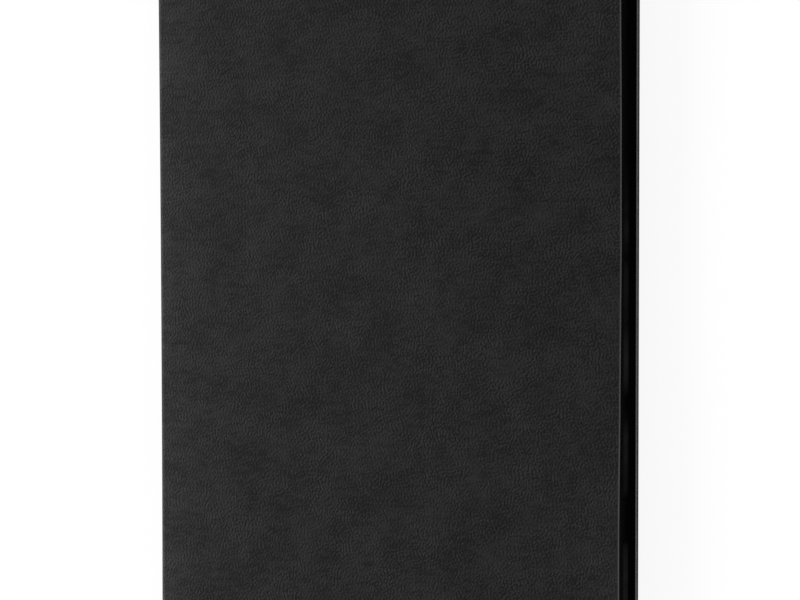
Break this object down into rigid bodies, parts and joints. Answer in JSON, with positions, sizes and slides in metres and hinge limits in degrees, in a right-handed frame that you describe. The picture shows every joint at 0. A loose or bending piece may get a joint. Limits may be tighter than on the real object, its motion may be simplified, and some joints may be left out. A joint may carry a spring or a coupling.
{
  "type": "undated planner",
  "caption": "Soft-covered bound planner in black leather, with sewn sections, stained page edges and covers that open flat on two folds.",
  "frame": {"origin": "middle of the back cover's outer face, on the surface that the closed planner lies on", "axes": "+Z from the back cover to the front cover, +X from the spine to the fore-edge, +Y towards the head"},
  "size_m": [0.15, 0.2144, 0.016],
  "materials": {
    "leather": "black bonded leather with a fine pebbled grain and a satin finish",
    "card": "dyed-through card, matt",
    "endpaper": "black uncoated endpaper",
    "paper": "cream uncoated writing paper, edges stained black",
    "mull": "open-weave cotton, sized with glue",
    "band": "woven band, black",
    "thread": "waxed sewing thread"
  },
  "bodies": {
    "back_cover": {"back_leather": "leather", "back_card": "card", "back_pastedown": "endpaper", "back_flyleaf": "endpaper"},
    "spine": {"spine_leather": "leather", "spine_strip": "card", "spine_mull": "mull", "head_band": "band", "tail_band": "band"},
    "front_cover": {"front_leather": "leather", "front_card": "card", "front_pastedown": "endpaper", "front_flyleaf": "endpaper"},
    "section_01": {"section_01": "paper", "thread_01": "thread"},
    "section_02": {"section_02": "paper", "thread_02": "thread"},
    "section_03": {"section_03": "paper", "thread_03": "thread"},
    "section_04": {"section_04": "paper", "thread_04": "thread"},
    "section_05": {"section_05": "paper", "thread_05": "thread"},
    "section_06": {"section_06": "paper", "thread_06": "thread"},
    "section_07": {"section_07": "paper", "thread_07": "thread"},
    "section_08": {"section_08": "paper", "thread_08": "thread"},
    "section_09": {"section_09": "paper", "thread_09": "thread"},
    "section_10": {"section_10": "paper", "thread_10": "thread"},
    "section_11": {"section_11": "paper", "thread_11": "thread"},
    "section_12": {"section_12": "paper", "thread_12": "thread"}
  },
  "joints": [
    {"name": "back_fold", "type": "hinge", "parent": "back_cover", "child": "spine", "pos_m": [-0.07457, 0, 0.00043], "axis": [0, -1, 0], "range_deg": [0, 90]},
    {"name": "front_fold", "type": "hinge", "parent": "spine", "child": "front_cover", "pos_m": [-0.07457, 0, 0.01557], "axis": [0, -1, 0], "range_deg": [0, 90]},
    {"name": "section_01_slip", "type": "slide", "parent": "front_cover", "child": "section_01", "axis": [-1, 0, 0], "range_m": [0, 0.00156]},
    {"name": "section_02_slip", "type": "slide", "parent": "front_cover", "child": "section_02", "axis": [-1, 0, 0], "range_m": [0, 0.00313]},
    {"name": "section_03_slip", "type": "slide", "parent": "front_cover", "child": "section_03", "axis": [-1, 0, 0], "range_m": [0, 0.0047]},
    {"name": "section_04_slip", "type": "slide", "parent": "front_cover", "child": "section_04", "axis": [-1, 0, 0], "range_m": [0, 0.00626]},
    {"name": "section_05_slip", "type": "slide", "parent": "front_cover", "child": "section_05", "axis": [-1, 0, 0], "range_m": [0, 0.00783]},
    {"name": "section_06_slip", "type": "slide", "parent": "front_cover", "child": "section_06", "axis": [-1, 0, 0], "range_m": [0, 0.00939]},
    {"name": "section_12_slip", "type": "slide", "parent": "back_cover", "child": "section_12", "axis": [-1, 0, 0], "range_m": [0, 0.00156]},
    {"name": "section_11_slip", "type": "slide", "parent": "back_cover", "child": "section_11", "axis": [-1, 0, 0], "range_m": [0, 0.00313]},
    {"name": "section_10_slip", "type": "slide", "parent": "back_cover", "child": "section_10", "axis": [-1, 0, 0], "range_m": [0, 0.0047]},
    {"name": "section_09_slip", "type": "slide", "parent": "back_cover", "child": "section_09", "axis": [-1, 0, 0], "range_m": [0, 0.00626]},
    {"name": "section_08_slip", "type": "slide", "parent": "back_cover", "child": "section_08", "axis": [-1, 0, 0], "range_m": [0, 0.00783]},
    {"name": "section_07_slip", "type": "slide", "parent": "back_cover", "child": "section_07", "axis": [-1, 0, 0], "range_m": [0, 0.00939]}
  ],
  "couplings": [
    {"joint": "section_01_slip", "follows": "front_fold", "m_per_rad": 0.00099631},
    {"joint": "section_02_slip", "follows": "front_fold", "m_per_rad": 0.0019926},
    {"joint": "section_03_slip", "follows": "front_fold", "m_per_rad": 0.0029889},
    {"joint": "section_04_slip", "follows": "front_fold", "m_per_rad": 0.0039852},
    {"joint": "section_05_slip", "follows": "front_fold", "m_per_rad": 0.0049815},
    {"joint": "section_06_slip", "follows": "front_fold", "m_per_rad": 0.0059779},
    {"joint": "section_12_slip", "follows": "back_fold", "m_per_rad": 0.00099631},
    {"joint": "section_11_slip", "follows": "back_fold", "m_per_rad": 0.0019926},
    {"joint": "section_10_slip", "follows": "back_fold", "m_per_rad": 0.0029889},
    {"joint": "section_09_slip", "follows": "back_fold", "m_per_rad": 0.0039852},
    {"joint": "section_08_slip", "follows": "back_fold", "m_per_rad": 0.0049815},
    {"joint": "section_07_slip", "follows": "back_fold", "m_per_rad": 0.0059779}
  ]
}
